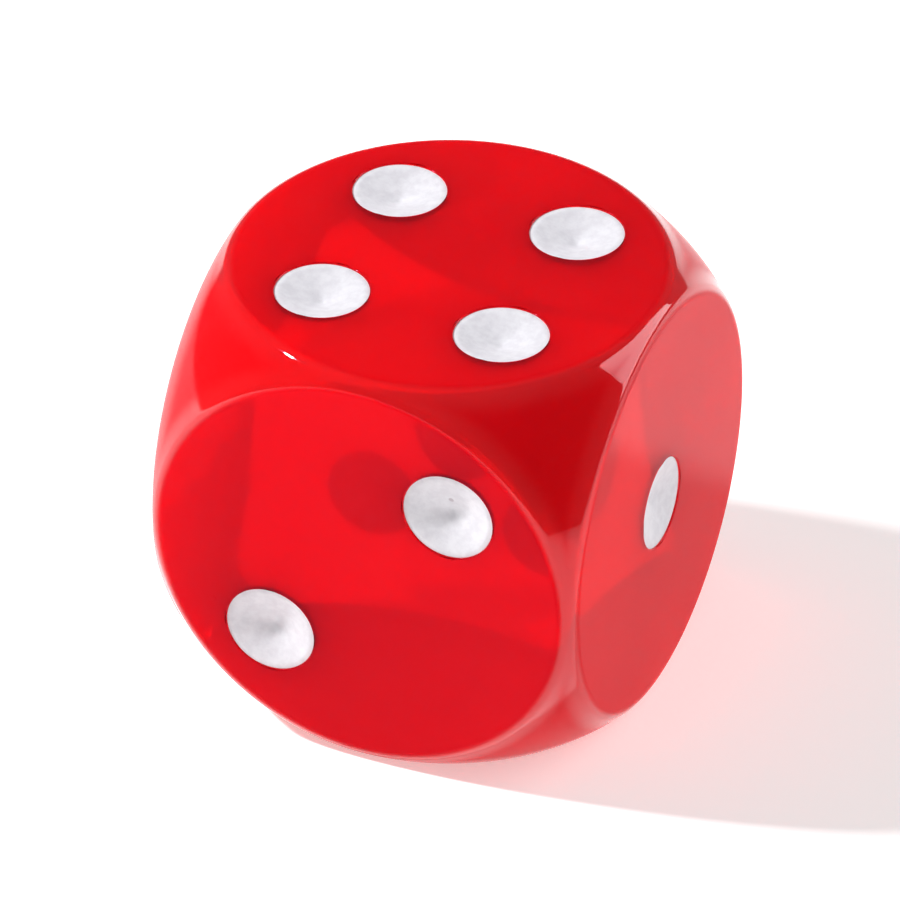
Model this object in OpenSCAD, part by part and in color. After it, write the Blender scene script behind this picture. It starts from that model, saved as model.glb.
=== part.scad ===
// Round-cornered translucent die: one moulded block and 21 painted pips.
// The origin is the block's centre. +Z leaves through the four, +X through
// the one and -Y through the two, so opposite faces add up to seven.
// Every size but the side is a share of the side.

/* [Block] */
// Length of the side, from one flat face to the opposite one, in mm
side = 16; // [12:0.5:19]
// Distance from the centre to the rounded corners, as a share of the side
corner_reach = 0.690; // [0.685:0.001:0.695]
// Radius that eases the rim of each flat face, as a share of the side
rim_ease = 0.045; // [0.030:0.001:0.060]

/* [Pips] */
// Diameter of a pip's recess, as a share of the side
pip_width = 0.206; // [0.180:0.002:0.210]
// Depth of the recess's straight wall, as a share of the side
pip_wall = 0.018; // [0.012:0.001:0.030]
// Point angle of the drill that leaves the recess's cone, in degrees
drill_point = 144; // [118:1:150]
// Distance of the corner pips of two to five from the face's middle lines
corner_pip_offset = 0.209; // [0.190:0.001:0.215]
// Distance between neighbours along each row of the six
six_pitch = 0.278; // [0.250:0.001:0.280]
// Distance of each row of the six from the face's middle line
six_row_offset = 0.186; // [0.170:0.001:0.190]

/* [Paint] */
// Thickness of the paint along a pip's axis, as a share of the side
paint_depth = 0.018; // [0.008:0.001:0.020]
// Step from the flat face down to the edge of the paint
paint_step = 0.004; // [0.002:0.001:0.008]

/* [Colours] */
// Colour of the translucent block
block_colour = "red"; // [red, crimson, darkred, green, blue]
// Colour of the paint in the pips
paint_colour = "white"; // [white, ivory, gold, black]

/* [Hidden] */
$fn = 96;
half = side / 2;
reach = corner_reach * side;

// The easing arc leaves the flat face level with it, and meets the corner
// sphere after turning by EASE_TURN degrees. That place stays short of the
// plane midway between two faces, by at least APART of the side, so that
// neighbouring easings never cross. The cutting surface turns by PAST_TURN
// more, to be clear of the sphere, and then falls away at AWAY_SLOPE degrees.
EASE_TURN = 35;
PAST_TURN = 3;
AWAY_SLOPE = 30;
APART = 0.003;
ease_limit = (half - reach / sqrt(2) - APART * side) / (1 - cos(EASE_TURN));
ease = min(rim_ease * side, ease_limit);
meet_height = half - ease * (1 - cos(EASE_TURN));
flat_radius = sqrt(pow(reach, 2) - pow(meet_height, 2)) - ease * sin(EASE_TURN);
function ease_point(turn) = [flat_radius + ease * sin(turn), ease * (cos(turn) - 1)];
arc_end = ease_point(EASE_TURN + PAST_TURN);

pip_radius = pip_width * side / 2;
wall = pip_wall * side;
cone = pip_radius / tan(drill_point / 2);
step = paint_step * side;
paint = paint_depth * side;

corner = corner_pip_offset * side;
pitch = six_pitch * side;
row = six_row_offset * side;

// Each face: its name, the turn that brings it from the top to its place,
// and its pips, each with a name and its place on the face.
FACES = [
    ["one", [0, 90, 0], [["centre", [0, 0]]]],
    ["two", [90, 0, 0], [["upper_right", [corner, corner]], ["lower_left", [-corner, -corner]]]],
    ["three", [180, 0, 0], [["front_left", [-corner, corner]], ["centre", [0, 0]],
                            ["back_right", [corner, -corner]]]],
    ["four", [0, 0, 0], [["front_left", [-corner, -corner]], ["front_right", [corner, -corner]],
                         ["back_left", [-corner, corner]], ["back_right", [corner, corner]]]],
    ["five", [-90, 0, 0], [["lower_left", [-corner, corner]], ["lower_right", [corner, corner]],
                           ["centre", [0, 0]],
                           ["upper_left", [-corner, -corner]], ["upper_right", [corner, -corner]]]],
    ["six", [0, -90, 0], [["lower_front", [-row, -pitch]], ["lower_middle", [-row, 0]],
                          ["lower_back", [-row, pitch]], ["upper_front", [row, -pitch]],
                          ["upper_middle", [row, 0]], ["upper_back", [row, pitch]]]]
];

function pip_name(face, place) = str("pip_", face[0], "_", place[0]);

// Puts its children on a flat face, with z = 0 on that face.
module on_face(face, at = [0, 0])
    rotate(face[1])
        translate([at[0], at[1], half])
            children();

// What is cut away beyond one flat face: a wide disc whose underside is flat,
// eased round the face's rim, and falls away beyond the sphere.
module face_cut()
    rotate_extrude()
        difference() {
            polygon([
                [0, 0],
                [flat_radius, 0],
                arc_end,
                [reach, arc_end[1] - (reach - arc_end[0]) * tan(AWAY_SLOPE)],
                [reach, half],
                [0, half]
            ]);
            translate([flat_radius, -ease])
                circle(ease);
        }

// The drilled recess of one pip: a short wall and a cone.
module recess()
    rotate_extrude()
        polygon([
            [0, -wall - cone],
            [pip_radius, -wall],
            [pip_radius, half],
            [0, half]
        ]);

module body()
    color(block_colour, 0.8)
        difference() {
            sphere(reach);
            for (face = FACES) {
                on_face(face) face_cut();
                for (place = face[2])
                    on_face(face, place[1]) recess();
            }
        }

// The paint lines the whole recess, and its own surface is a hollow cone.
module pip(face, place)
    color(paint_colour)
        on_face(face, place[1])
            rotate_extrude()
                polygon([
                    [0, -wall - cone],
                    [pip_radius, -wall],
                    [pip_radius, -step],
                    [0, -wall - cone + paint]
                ]);

body();
for (face = FACES, place = face[2])
    pip(face, place);
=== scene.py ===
import bmesh
import bpy
import numpy as np
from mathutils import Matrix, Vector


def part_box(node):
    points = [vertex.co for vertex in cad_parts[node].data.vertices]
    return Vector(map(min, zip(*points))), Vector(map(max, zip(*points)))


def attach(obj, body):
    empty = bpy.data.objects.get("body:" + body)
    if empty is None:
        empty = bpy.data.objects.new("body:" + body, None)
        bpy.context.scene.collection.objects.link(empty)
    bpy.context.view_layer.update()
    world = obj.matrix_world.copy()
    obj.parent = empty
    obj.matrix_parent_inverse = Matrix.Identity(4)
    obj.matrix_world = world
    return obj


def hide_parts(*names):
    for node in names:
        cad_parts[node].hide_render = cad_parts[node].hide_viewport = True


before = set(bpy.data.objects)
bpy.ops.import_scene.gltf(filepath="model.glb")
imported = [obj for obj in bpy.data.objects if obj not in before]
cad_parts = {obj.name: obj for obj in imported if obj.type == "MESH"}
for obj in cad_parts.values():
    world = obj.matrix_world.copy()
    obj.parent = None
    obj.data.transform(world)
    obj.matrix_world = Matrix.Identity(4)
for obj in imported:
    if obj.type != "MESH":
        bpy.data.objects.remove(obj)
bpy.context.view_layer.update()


# ---------------------------------------------------------------- the block
# A solid block of clear acrylic dyed red, moulded as a cube and tumbled in
# grit, which rounds the corners to one sphere and eases every edge. The pip
# recesses are drilled into its faces afterwards, and it is polished.
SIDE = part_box("body")[1].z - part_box("body")[0].z
HALF = SIDE / 2
CORNER_REACH = 0.690 * SIDE      # from the centre to the rounded corners
EASING = 0.041 * SIDE            # radius left along edges and face rims
CORE_HALF = HALF - EASING        # the block less its easing, a cube ...
CORE_REACH = CORNER_REACH - EASING                      # ... cut by a ball
CORE_RIM = np.sqrt(CORE_REACH**2 - CORE_HALF**2)        # radius of each flat face
HALVINGS = 40                    # enough to find a place to the last digit
FACE_TURNS = {                   # each face's two directions and its normal
    "one": ((0, 0, -1), (0, 1, 0), (1, 0, 0)),
    "two": ((1, 0, 0), (0, 0, 1), (0, -1, 0)),
    "three": ((1, 0, 0), (0, -1, 0), (0, 0, -1)),
    "four": ((1, 0, 0), (0, 1, 0), (0, 0, 1)),
    "five": ((1, 0, 0), (0, 0, -1), (0, 1, 0)),
    "six": ((0, 0, 1), (0, 1, 0), (-1, 0, 0)),
}


def nearest_in_core(points):
    """The nearest point of the core: the point is shrunk towards the centre, and clamped to the cube,
    until it lies within the ball. The shrinking is found by halving an interval."""
    low = np.zeros(points.shape[:-1] + (1,))
    high = np.ones_like(low)
    clamped = np.clip(points, -CORE_HALF, CORE_HALF)
    outside = np.linalg.norm(clamped, axis=-1, keepdims=True) > CORE_REACH
    for _ in range(HALVINGS):
        middle = (low + high) / 2
        trial = np.clip(points * middle, -CORE_HALF, CORE_HALF)
        far = np.linalg.norm(trial, axis=-1, keepdims=True) > CORE_REACH
        high = np.where(far, middle, high)
        low = np.where(far, low, middle)
    return np.where(outside, np.clip(points * low, -CORE_HALF, CORE_HALF), clamped)


def out_to_surface(directions):
    """Where straight lines from the centre leave the block: the point of each line whose distance from
    the core is the easing radius, found by halving. Its normal points straight away from the core."""
    low = np.full(directions.shape[:-1] + (1,), 0.9 * HALF)
    high = np.full_like(low, 1.1 * CORNER_REACH)
    for _ in range(HALVINGS):
        middle = (low + high) / 2
        trial = directions * middle
        away = np.linalg.norm(trial - nearest_in_core(trial), axis=-1, keepdims=True)
        high = np.where(away > EASING, middle, high)
        low = np.where(away > EASING, low, middle)
    points = directions * low
    normals = points - nearest_in_core(points)
    return points, normals / np.linalg.norm(normals, axis=-1, keepdims=True)


def skin(points, closed=True):
    """Quads over a grid of rings by steps, as rows of four indices. Closed joins each ring's last step
    to its first. Rings run outwards and steps anticlockwise, so that faces point to the viewer."""
    rings, steps = points.shape[:2]
    index = np.arange(rings * steps).reshape(rings, steps)
    after = np.roll(index, -1, axis=1) if closed else index[:, 1:]
    here = index if closed else index[:, :-1]
    return np.stack([here[:-1], here[1:], after[1:], after[:-1]], -1).reshape(-1, 4)


def box_outline(low, high, steps):
    """The outline of a rectangle as a closed run of points, anticlockwise from its lowest corner, with
    steps = (along u, along v) equal parts on each side."""
    across = np.arange(steps[0]) / steps[0]
    up = np.arange(steps[1]) / steps[1]
    u = np.concatenate([across, np.ones(steps[1]), 1 - across, np.zeros(steps[1])])
    v = np.concatenate([np.zeros(steps[0]), up, np.ones(steps[0]), 1 - up])
    return low + (high - low) * np.stack([u, v], -1)


def lofted(inner, outer, shares):
    """A flat ring of surface between two outlines of equally many points, each point moving in a
    straight line from the inner outline to the outer one by the given shares."""
    return inner + (outer - inner) * np.asarray(shares)[:, None, None]


def carried_round(centre, angles, radii, depths, slopes):
    """A profile carried round an axis: radius and depth along the profile, and at each of its points
    the angle between the surface's normal and the face's, positive when it leans inwards."""
    ray = np.stack([np.cos(angles), np.sin(angles)], -1)
    flat = centre + radii[:, None, None] * ray
    heights = np.broadcast_to(HALF - depths[:, None, None], flat.shape[:2] + (1,))
    points = np.concatenate([flat, heights], -1)
    lean = -np.sin(slopes)[:, None, None] * ray
    rise = np.broadcast_to(np.cos(slopes)[:, None, None], lean.shape[:2] + (1,))
    return points, np.concatenate([lean, rise], -1)


def pips_of(face):
    """The CAD's pips on a face, as {name: (place on the face, radius, depth)} from their boxes."""
    u, v, out = (np.array(a) for a in FACE_TURNS[face])
    found = {}
    for name in sorted(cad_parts):
        if name.startswith(f"pip_{face}_"):
            low, high = (np.array(corner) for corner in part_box(name))
            middle, size = (low + high) / 2, high - low
            place = np.array([middle @ u, middle @ v])
            depth = HALF - min(abs(low @ out), abs(high @ out))
            found[name] = (place, abs(size @ u) / 2, depth)
    return found


PIP_WALL = 0.018 * SIDE          # straight wall of a recess, above the drill's cone
BROKEN_EDGE = 0.0035 * SIDE      # radius that the polishing leaves round a recess
DRILL_ROUND = 0.004 * SIDE       # radius that the drill's corner leaves at the wall's foot


def recess_profile(radius, depth):
    """A drilled recess from its rim to its point, as radii, depths and slopes: a quarter round that breaks
    the edge, a straight wall, a small round at its foot and the drill's cone."""
    cone = np.arctan2(depth - PIP_WALL, radius)
    turn = np.linspace(0, np.pi / 2, 6)
    bend = np.linspace(np.pi / 2, cone, 5)
    along = np.linspace(1, 0, 9)[1:]
    foot_depth = PIP_WALL - DRILL_ROUND * np.tan((np.pi / 2 - cone) / 2)
    cone_start = radius - DRILL_ROUND + DRILL_ROUND * np.sin(cone)
    start_depth = foot_depth + DRILL_ROUND * np.cos(cone)
    radii = np.concatenate([
        radius + BROKEN_EDGE * (1 - np.sin(turn)),
        radius - DRILL_ROUND + DRILL_ROUND * np.sin(bend),
        cone_start * along])
    depths = np.concatenate([
        BROKEN_EDGE * (1 - np.cos(turn)),
        foot_depth + DRILL_ROUND * np.cos(bend),
        start_depth + (depth - start_depth) * (1 - along)])
    slopes = np.concatenate([turn, bend, np.full(len(along), cone)])
    return radii, depths, slopes


CELL_ROOM = 1.04                 # half a cell of the six's lattice, in pip radii
LONE_CELL_ROOM = 1.01            # half the cell of the one, likewise
CELL_STEPS = (16, 16)            # parts along the sides of a cell ...
SIX_CELL_STEPS = (24, 16)        # ... and of the six's longer cells
SIDE_STEPS = 48                  # parts along each side of a face's outer outline
ROUNDING_RINGS = 25              # rings of points from a rim to halfway to the next face


def face_surface(face):
    """One sixth of the block, seen with its face on top: a lattice of cells with a recess in some, a
    ring of flat surface out to the rim, and the rounding from the rim to halfway to the next face."""
    pips = pips_of(face)
    radius = max(r for _, r, _ in pips.values())
    reach = max(np.abs(p[0]).max() for p in pips.values())
    if face == "six":
        row, pitch = np.abs([p[0] for p in pips.values()]).max(0)
        room = CELL_ROOM * radius
        lines = [
            np.array([-row - room, 0, row + room]),
            np.array([-pitch - room, -pitch / 2, pitch / 2, pitch + room])]
        steps = SIX_CELL_STEPS
    else:
        half_cell = LONE_CELL_ROOM * radius if reach < radius else reach / 2
        lines = [half_cell * np.array([-3, -1, 1, 3])] * 2
        steps = CELL_STEPS
    farthest = max(np.linalg.norm(p[0]) for p in pips.values())
    inside_rim = (farthest + CORE_RIM + radius) / 2

    def pulled_in(outline):
        """The outline with every point beyond the circle just inside the rim moved in to it."""
        length = np.linalg.norm(outline, axis=-1, keepdims=True)
        return outline * np.minimum(1, inside_rim / np.maximum(length, 1e-9))

    pieces = []
    up = np.array([0.0, 0.0, 1.0])

    def add_flat(grid, closed=True):
        """Keeps a grid of flat surface at the face's height."""
        raised = np.concatenate([grid, np.full(grid.shape[:2] + (1,), HALF)], -1)
        pieces.append((raised, np.broadcast_to(up, raised.shape), closed))

    for left, right in zip(lines[0], lines[0][1:]):
        for front, back in zip(lines[1], lines[1][1:]):
            low, high = np.array([left, front]), np.array([right, back])
            inside = [p for p in pips.values() if np.all(p[0] > low) and np.all(p[0] < high)]
            if not inside:
                across = np.linspace(0, 1, steps[0] + 1)[None, :, None]
                along = np.linspace(0, 1, steps[1] + 1)[:, None, None]
                grid = low + (high - low) * np.concatenate(np.broadcast_arrays(across, along), -1)
                add_flat(pulled_in(grid)[::-1], closed=False)
                continue
            centre, r, depth = inside[0]
            outline = pulled_in(box_outline(low, high, steps))
            angles = np.arctan2(*(outline - centre).T[::-1])
            radii, depths, slopes = recess_profile(r, depth)
            points, normals = carried_round(centre, angles, radii[::-1], depths[::-1], slopes[::-1])
            pieces.append((points, normals, True))
            ring = centre + radii[0] * np.stack([np.cos(angles), np.sin(angles)], -1)
            add_flat(lofted(ring, outline, [0, 0.5, 1]))

    block_low, block_high = (np.array([line[end] for line in lines]) for end in (0, -1))
    block_steps = (steps[0] * (len(lines[0]) - 1), steps[1] * (len(lines[1]) - 1))
    outline = pulled_in(box_outline(block_low, block_high, block_steps))
    quarter = np.tan(np.pi / 4 * (2 * np.arange(SIDE_STEPS) / SIDE_STEPS - 1))
    one = np.ones(SIDE_STEPS)
    square = np.concatenate([
        np.stack([quarter, -one], -1), np.stack([one, quarter], -1),
        np.stack([-quarter, one], -1), np.stack([-one, -quarter], -1)])
    ray = square / np.linalg.norm(square, axis=-1, keepdims=True)
    straight = np.abs(ray).max(-1, keepdims=True)
    rim = np.minimum(CORE_RIM, CORE_HALF / straight)
    add_flat(lofted(outline, rim * ray, [0, 0.4, 0.8, 1]))

    start, end = np.arctan2(rim, HALF), np.arctan2(1, straight)
    share = (np.linspace(0, 1, ROUNDING_RINGS) ** 1.5)[:, None, None]
    lean = start + (end - start) * share
    directions = np.concatenate([np.sin(lean) * ray, np.cos(lean)], -1)
    points, normals = out_to_surface(directions)
    pieces.append((points, normals, True))
    return pieces


WELD_DISTANCE = 2e-7             # joins points that differ only by rounding of their numbers


def as_mesh(name, pieces):
    """A mesh of all the grids, welded where they meet, with the normals that their formulas give."""
    corners, normals, quads, count = [], [], [], 0
    for points, normal, closed in pieces:
        quads.append(skin(points, closed) + count)
        corners.append(points.reshape(-1, 3))
        normals.append(normal.reshape(-1, 3))
        count += len(corners[-1])
    mesh = bpy.data.meshes.new(name)
    mesh.from_pydata(np.concatenate(corners), [], np.concatenate(quads).tolist())
    hint = mesh.attributes.new("formula_normal", "FLOAT_VECTOR", "POINT")
    hint.data.foreach_set("vector", np.concatenate(normals).astype(np.float32).ravel())
    welded = bmesh.new()
    welded.from_mesh(mesh)
    bmesh.ops.remove_doubles(welded, verts=welded.verts, dist=WELD_DISTANCE)
    welded.to_mesh(mesh)
    welded.free()
    hint = mesh.attributes["formula_normal"]
    kept = np.zeros(len(mesh.vertices) * 3, np.float32)
    hint.data.foreach_get("vector", kept)
    mesh.attributes.remove(hint)
    mesh.polygons.foreach_set("use_smooth", np.ones(len(mesh.polygons), bool))
    mesh.normals_split_custom_set_from_vertices(kept.reshape(-1, 3))
    piece = bpy.data.objects.new(name, mesh)
    bpy.context.scene.collection.objects.link(piece)
    return piece


block_grids = []
for face, turn in FACE_TURNS.items():
    turn = np.array(turn, float)
    for points, normals, closed in face_surface(face):
        block_grids.append((points @ turn, normals @ turn, closed))
block = as_mesh("block", block_grids)


def socketed_group(name, inputs, outputs):
    """A shader node group with its named inputs and outputs, and its two end nodes."""
    group = bpy.data.node_groups.new(name, "ShaderNodeTree")
    for label, kind, value in inputs:
        socket = group.interface.new_socket(label, in_out="INPUT", socket_type=kind)
        if value is not None:
            socket.default_value = value
    for label, kind in outputs:
        group.interface.new_socket(label, in_out="OUTPUT", socket_type=kind)
    return group, group.nodes.new("NodeGroupInput"), group.nodes.new("NodeGroupOutput")


def maths(tree, operation, first, second=None):
    """A Math node on two sockets or numbers, and its result."""
    node = tree.nodes.new("ShaderNodeMath")
    node.operation = operation
    for socket, value in zip(node.inputs, (first, second)):
        if hasattr(value, "is_output"):
            tree.links.new(value, socket)
        elif value is not None:
            socket.default_value = value
    return node.outputs[0]


def noise(tree, vector, scale, detail=2.0, roughness=0.5):
    """A Noise Texture on a vector, and its value."""
    node = tree.nodes.new("ShaderNodeTexNoise")
    node.inputs["Scale"].default_value = scale
    node.inputs["Detail"].default_value = detail
    node.inputs["Roughness"].default_value = roughness
    tree.links.new(vector, node.inputs["Vector"])
    return node.outputs["Fac"]


def turned(tree, vector, rotation, scale):
    """A Mapping node that turns and stretches a vector."""
    node = tree.nodes.new("ShaderNodeMapping")
    node.inputs["Rotation"].default_value = rotation
    node.inputs["Scale"].default_value = scale
    tree.links.new(vector, node.inputs["Vector"])
    return node.outputs["Vector"]


def band(tree, value, low, high):
    """A smooth step of a value from 0 at low to 1 at high."""
    node = tree.nodes.new("ShaderNodeMapRange")
    node.interpolation_type = "SMOOTHSTEP"
    tree.links.new(value, node.inputs["Value"])
    node.inputs["From Min"].default_value = low
    node.inputs["From Max"].default_value = high
    return node.outputs["Result"]


def between(tree, share, low, high):
    """A value from low to high by a share."""
    result = maths(tree, "MULTIPLY_ADD", share, high - low)
    result.node.inputs[2].default_value = low
    return result


STROKES = (                      # turn of each set of hairlines, scale of its patches
    ((0.3, 0.9, 0.5), 310),
    ((1.1, 0.2, 2.1), 270),
    ((2.0, 1.3, 0.8), 350),
)
STROKE_STRETCH = (3600, 130, 260)    # draws the noise out into lines
HAIRLINE = 0.006                 # how near its middle value the noise makes a line
PATCH = (0.64, 0.72)             # broad noise where the lines begin and are full
SPECK_CELLS = 560                # cells to a metre ...
SPECK_CHOICE = 0.80              # ... of which one in five has a speck
SPECK_SIZE = (0.03, 0.08)        # least and greatest radius, in cells
CLOUD_SCALE = 240                # of slow changes in shade and gloss


def handling_wear():
    """Marks that use leaves on a small hard piece. Hairlines are where stretched noise crosses its middle
    value, kept only where a broad noise is high. Specks are the middles of a few Voronoi cells."""
    group, into, out = socketed_group(
        "handling_wear",
        [("Vector", "NodeSocketVector", None), ("Amount", "NodeSocketFloat", 1.0)],
        [("Hairlines", "NodeSocketFloat"), ("Specks", "NodeSocketFloat"), ("Clouds", "NodeSocketFloat")])
    vector, amount = into.outputs["Vector"], into.outputs["Amount"]
    lines = None
    for turn, broad in STROKES:
        stretched = turned(group, vector, turn, STROKE_STRETCH)
        off = maths(group, "ABSOLUTE", maths(group, "SUBTRACT", noise(group, stretched, 1, 0), 0.5))
        fine = band(group, off, HAIRLINE, 0.0)
        patch = band(group, noise(group, turned(group, vector, turn, (1, 1, 1)), broad, 1), *PATCH)
        line = maths(group, "MULTIPLY", fine, patch)
        lines = line if lines is None else maths(group, "MAXIMUM", lines, line)
    cells = group.nodes.new("ShaderNodeTexVoronoi")
    cells.inputs["Scale"].default_value = SPECK_CELLS
    group.links.new(vector, cells.inputs["Vector"])
    chosen = group.nodes.new("ShaderNodeSeparateColor")
    group.links.new(cells.outputs["Color"], chosen.inputs["Color"])
    few = maths(group, "GREATER_THAN", chosen.outputs["Red"], SPECK_CHOICE)
    size = between(group, chosen.outputs["Green"], *SPECK_SIZE)
    dot = band(group, maths(group, "DIVIDE", cells.outputs["Distance"], size), 1.0, 0.6)
    specks = maths(group, "MULTIPLY", dot, few)
    group.links.new(maths(group, "MULTIPLY", lines, amount), out.inputs["Hairlines"])
    group.links.new(maths(group, "MULTIPLY", specks, amount), out.inputs["Specks"])
    group.links.new(noise(group, vector, CLOUD_SCALE, 3, 0.6), out.inputs["Clouds"])
    return group


wear = handling_wear()


def placed_group(tree, group, amount):
    """A node group in a material, read at the piece's own coordinates."""
    node = tree.nodes.new("ShaderNodeGroup")
    node.node_tree = group
    node.inputs["Amount"].default_value = amount
    where = tree.nodes.new("ShaderNodeTexCoord")
    tree.links.new(where.outputs["Object"], node.inputs["Vector"])
    return node, where.outputs["Object"]


SCATTERED_SHARE = 0.54           # of the light that enters, from haze in the plastic
DEEP_RED = (0.94, 0.003, 0.010, 1)
BRIGHT_RED = (1.0, 0.009, 0.013, 1)
SWIRL_SCALE = 150                # of the slow ripple that tumbling leaves
SWIRL_HEIGHT = 0.00002
HAIRLINE_DEPTH = -0.12           # in swirl heights, and so is the next
SPECK_HEIGHT = 0.4
FLAT_LIMITS = (HALF - 0.0002 * SIDE, HALF - 0.004 * SIDE)    # from a flat into its easing
EDGE_LIMITS = (HALF - 0.05 * SIDE, HALF - 0.014 * SIDE)      # from a corner to a rim
EDGE_POLISH = (0.10, 1.0)        # coat on the corners and on the rims


def dyed_acrylic():
    """Clear acrylic with red dye right through it. The dye takes out blue within a fraction of a
    millimetre, green within two and hardly any red, so thin places show orange. Haze scatters part of
    the light. The easings and corners keep their gloss as a clear coat, which the flats have lost."""
    material = bpy.data.materials.new("dyed_acrylic")
    material.use_nodes = True
    tree = material.node_tree
    shader = tree.nodes["Principled BSDF"]
    shader.inputs["Transmission Weight"].default_value = 1 - SCATTERED_SHARE
    shader.inputs["IOR"].default_value = 1.49
    shader.inputs["Specular IOR Level"].default_value = 0.0
    shader.inputs["Specular Tint"].default_value = (1.0, 0.05, 0.25, 1)
    shader.inputs["Subsurface Weight"].default_value = 1.0
    shader.inputs["Subsurface Radius"].default_value = (1.0, 0.05, 0.08)
    shader.inputs["Subsurface Scale"].default_value = 0.006
    shader.inputs["Coat IOR"].default_value = 1.5
    shader.inputs["Coat Roughness"].default_value = 0.03

    marks, here = placed_group(tree, wear, 1.0)
    tint = tree.nodes.new("ShaderNodeMix")
    tint.data_type = "RGBA"
    tint.inputs["A"].default_value = DEEP_RED
    tint.inputs["B"].default_value = BRIGHT_RED
    tree.links.new(marks.outputs["Clouds"], tint.inputs["Factor"])
    tree.links.new(tint.outputs["Result"], shader.inputs["Base Color"])
    rough = between(tree, marks.outputs["Clouds"], 0.03, 0.10)
    rough = maths(tree, "MAXIMUM", rough, between(tree, marks.outputs["Hairlines"], 0.0, 0.25))
    tree.links.new(rough, shader.inputs["Roughness"])

    scratched = maths(tree, "MULTIPLY", marks.outputs["Hairlines"], HAIRLINE_DEPTH)
    specked = maths(tree, "MULTIPLY", marks.outputs["Specks"], SPECK_HEIGHT)
    height = maths(tree, "ADD", noise(tree, here, SWIRL_SCALE, 1), scratched)
    bump = tree.nodes.new("ShaderNodeBump")
    bump.inputs["Strength"].default_value = 1.0
    bump.inputs["Distance"].default_value = SWIRL_HEIGHT
    tree.links.new(maths(tree, "ADD", height, specked), bump.inputs["Height"])
    tree.links.new(bump.outputs["Normal"], shader.inputs["Normal"])

    apart = tree.nodes.new("ShaderNodeSeparateXYZ")
    tree.links.new(here, apart.inputs["Vector"])
    out_x, out_y, out_z = (maths(tree, "ABSOLUTE", apart.outputs[axis]) for axis in "XYZ")
    farthest = maths(tree, "MAXIMUM", maths(tree, "MAXIMUM", out_x, out_y), out_z)
    off_flats = band(tree, farthest, *FLAT_LIMITS)
    on_edges = band(tree, farthest, *EDGE_LIMITS)
    polish = maths(tree, "MULTIPLY", off_flats, between(tree, on_edges, *EDGE_POLISH))
    tree.links.new(polish, shader.inputs["Coat Weight"])

    dye = tree.nodes.new("ShaderNodeVolumeAbsorption")
    dye.inputs["Color"].default_value = (0.9990, 0.78, 0.30, 1)
    dye.inputs["Density"].default_value = 6000
    tree.links.new(dye.outputs["Volume"], tree.nodes["Material Output"].inputs["Volume"])
    return material


block.data.materials.append(dyed_acrylic())
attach(block, "root")
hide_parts("body")


# ---------------------------------------------------------------- the paint
# White enamel wiped into each recess and wiped off the face. As it dries it
# shrinks to a dish over the drilled cone, with a level lip along the wall
# just below the face.
PAINT_STEP = 0.004 * SIDE        # from the face down to the lip
PAINT_LAYER = 0.018 * SIDE       # thickness in the middle
PAINT_BITE = 0.0012 * SIDE       # how far its edge is held in the plastic
LIP_START = 0.90                 # where the dish begins, as a share of a pip's radius
LIP_SOFTNESS = 0.02              # width of the bend from the lip to the dish, likewise
RIPPLE = 0.0009 * SIDE           # height of the waves in the dried paint
RIPPLE_WAVES = 7
PAINT_STEPS = 96                 # parts round a pip


def paint_profile(radius, depth):
    """A pip's paint from the middle of its open side out to the wall and back underneath, as radii and
    depths: a dish with straight sides, a soft bend up to a level lip, an edge held in the plastic and
    the drill's cone. The dish and lip are depth = step + slope * softplus(lip start - radius)."""
    r = np.linspace(0, 1, 41) ** 0.75
    sink = LIP_SOFTNESS * np.logaddexp(0, (LIP_START - r) / LIP_SOFTNESS) / LIP_START
    top_r, top_d = r * radius, PAINT_STEP + (depth - PAINT_LAYER - PAINT_STEP) * sink
    edge_r = radius + PAINT_BITE * np.array([0.6, 1.0, 1.0])
    edge_d = np.array([PAINT_STEP, PAINT_STEP + PAINT_BITE, PIP_WALL])
    under = np.linspace(1, 0, 9)
    under_r = (radius + PAINT_BITE) * under
    under_d = PIP_WALL + PAINT_BITE + (depth - PIP_WALL) * (1 - under)
    return np.concatenate([top_r, edge_r, under_r]), np.concatenate([top_d, edge_d, under_d]), len(r)


def paint_surface(centre, radius, depth, seed):
    """The profile carried round the pip's axis. On the open side a few waves of random strength and
    phase stand for where the paint pooled and pulled back as it dried."""
    radii, depths, open_rings = paint_profile(radius, depth)
    angles = np.linspace(0, 2 * np.pi, PAINT_STEPS, endpoint=False)
    chance = np.random.default_rng(seed)
    count = np.arange(1, RIPPLE_WAVES + 1)[:, None]
    phase = chance.uniform(0, 2 * np.pi, (RIPPLE_WAVES, 1))
    strength = chance.uniform(0.3, 1.0, (RIPPLE_WAVES, 1)) / count
    ripple = (strength * np.cos(count * angles + phase)).sum(0)
    share = np.zeros(len(radii))
    share[:open_rings] = np.sin(np.pi * np.clip(radii[:open_rings] / radius, 0, 1)) ** 2
    ray = np.stack([np.cos(angles), np.sin(angles)], -1)
    flat = centre + radii[:, None, None] * ray
    height = HALF - depths[:, None] + RIPPLE * share[:, None] * ripple
    return np.concatenate([flat, height[..., None]], -1)


SHADED_WHITE = (0.69, 0.675, 0.72, 1)
CLEAN_WHITE = (0.775, 0.765, 0.805, 1)
DUST = (0.40, 0.33, 0.37, 1)
MOTTLE_SCALE = 3000
GRAIN_SCALE = 2600
GRAIN_HEIGHT = 0.00002


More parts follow.
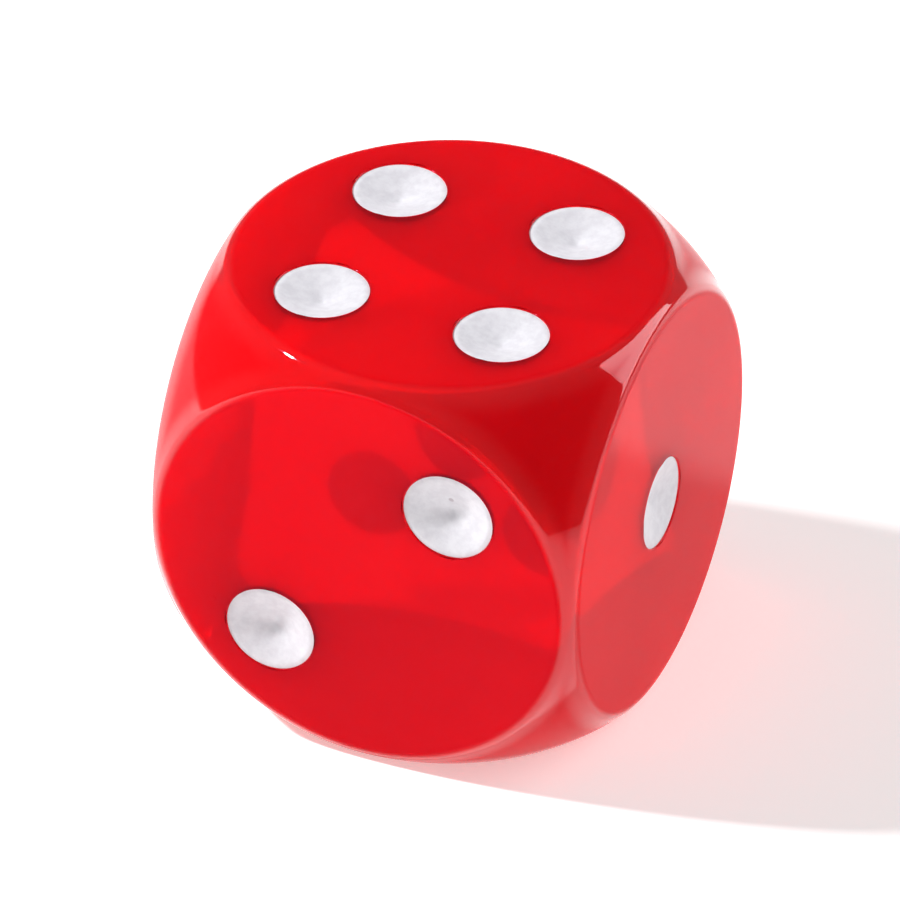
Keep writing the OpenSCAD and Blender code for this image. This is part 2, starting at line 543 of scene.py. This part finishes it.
def enamel():
    """White enamel, satin from wiping, a little greyer and glossier in patches, with a fine grain and
    the odd speck of reddish dust."""
    material = bpy.data.materials.new("pip_enamel")
    material.use_nodes = True
    tree = material.node_tree
    shader = tree.nodes["Principled BSDF"]
    marks, here = placed_group(tree, wear, 0.6)
    mottle = noise(tree, here, MOTTLE_SCALE, 4, 0.6)
    tint = tree.nodes.new("ShaderNodeMix")
    tint.data_type = "RGBA"
    tint.inputs["A"].default_value = SHADED_WHITE
    tint.inputs["B"].default_value = CLEAN_WHITE
    tree.links.new(band(tree, mottle, 0.3, 0.7), tint.inputs["Factor"])
    soiled = tree.nodes.new("ShaderNodeMix")
    soiled.data_type = "RGBA"
    soiled.inputs["B"].default_value = DUST
    tree.links.new(tint.outputs["Result"], soiled.inputs["A"])
    tree.links.new(marks.outputs["Specks"], soiled.inputs["Factor"])
    tree.links.new(soiled.outputs["Result"], shader.inputs["Base Color"])
    tree.links.new(between(tree, mottle, 0.28, 0.55), shader.inputs["Roughness"])
    bump = tree.nodes.new("ShaderNodeBump")
    bump.inputs["Strength"].default_value = 0.6
    bump.inputs["Distance"].default_value = GRAIN_HEIGHT
    tree.links.new(noise(tree, here, GRAIN_SCALE, 3, 0.6), bump.inputs["Height"])
    tree.links.new(bump.outputs["Normal"], shader.inputs["Normal"])
    return material


white_enamel = enamel()
for face, turn in FACE_TURNS.items():
    turn = np.array(turn, float)
    for name, (centre, radius, depth) in pips_of(face).items():
        points = paint_surface(centre, radius, depth, seed=sum(map(ord, name))) @ turn
        mesh = bpy.data.meshes.new(name)
        mesh.from_pydata(points.reshape(-1, 3), [], skin(points).tolist())
        welded = bmesh.new()
        welded.from_mesh(mesh)
        bmesh.ops.remove_doubles(welded, verts=welded.verts, dist=WELD_DISTANCE)
        bmesh.ops.recalc_face_normals(welded, faces=welded.faces)
        welded.to_mesh(mesh)
        welded.free()
        mesh.polygons.foreach_set("use_smooth", np.ones(len(mesh.polygons), bool))
        paint = bpy.data.objects.new(name.replace("pip_", "paint_"), mesh)
        bpy.context.scene.collection.objects.link(paint)
        paint.data.materials.append(white_enamel)
        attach(paint, "root")
        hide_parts(name)


# ---------------------------------------------------------------- the studio
# A pale paper floor that glows a little, in a dim grey-white room. A small
# key light at the left shades the pips, a soft light stands behind on the
# right and a weak one hangs overhead.
FLOOR_GAP = 0.00001              # keeps the die's flat clear of the paper
FLOOR_REACH = 1.5
corners = FLOOR_REACH * np.array([[-1, -1], [1, -1], [1, 1], [-1, 1]])
floor_mesh = bpy.data.meshes.new("floor")
floor_mesh.from_pydata(np.column_stack([corners, np.full(4, -HALF - FLOOR_GAP)]), [], [(0, 1, 2, 3)])
floor = bpy.data.objects.new("floor", floor_mesh)
bpy.context.scene.collection.objects.link(floor)

paper = bpy.data.materials.new("pale_paper")
paper.use_nodes = True
paper_shader = paper.node_tree.nodes["Principled BSDF"]
paper_shader.inputs["Base Color"].default_value = (0.93, 0.925, 0.92, 1)
paper_shader.inputs["Roughness"].default_value = 0.7
paper_shader.inputs["Specular IOR Level"].default_value = 0.2
paper_shader.inputs["Emission Color"].default_value = (1.0, 0.99, 0.98, 1)
paper_shader.inputs["Emission Strength"].default_value = 0.42
floor_mesh.materials.append(paper)

world = bpy.data.worlds.new("room")
bpy.context.scene.world = world
world.use_nodes = True
sky = world.node_tree.nodes["Background"]
sky.inputs["Color"].default_value = (0.95, 0.96, 1.0, 1)
sky.inputs["Strength"].default_value = 0.18


def direction(azimuth, elevation):
    """The way from the die to a place around it: azimuth 0 is the front, and turns to the right."""
    return np.array([
        np.sin(azimuth) * np.cos(elevation), -np.cos(azimuth) * np.cos(elevation), np.sin(elevation)])


def soft_light(name, azimuth, elevation, distance, width, height, watts):
    """A flat lamp that faces the die from a direction in degrees and a distance in metres."""
    az, el = np.radians([azimuth, elevation])
    lamp = bpy.data.lights.new(name, "AREA")
    lamp.shape = "RECTANGLE"
    lamp.size = width
    lamp.size_y = height
    lamp.energy = watts
    light = bpy.data.objects.new(name, lamp)
    light.location = direction(az, el) * distance
    light.rotation_euler = (np.pi / 2 - el, 0, az)
    bpy.context.scene.collection.objects.link(light)


soft_light("overhead", azimuth=0, elevation=89, distance=0.8, width=1.4, height=1.4, watts=0.3)
soft_light("key", azimuth=-74, elevation=43, distance=0.6, width=0.05, height=0.03, watts=4.3)
soft_light("right", azimuth=130, elevation=24, distance=0.7, width=0.5, height=0.4, watts=2.4)

VIEW_AZIMUTH, VIEW_ELEVATION = np.radians([23.3, 35.5])
VIEW_DISTANCE = 21 * SIDE
camera_data = bpy.data.cameras.new("camera")
camera_data.lens = 385
camera_data.sensor_width = 36
camera_data.clip_start = 0.01
camera = bpy.data.objects.new("camera", camera_data)
camera.location = direction(VIEW_AZIMUTH, VIEW_ELEVATION) * VIEW_DISTANCE
camera.rotation_euler = (np.pi / 2 - VIEW_ELEVATION, 0, VIEW_AZIMUTH)
bpy.context.scene.collection.objects.link(camera)
bpy.context.scene.camera = camera

bpy.context.scene.view_settings.view_transform = "Standard"
bpy.context.scene.cycles.max_bounces = 14
bpy.context.scene.cycles.transmission_bounces = 14
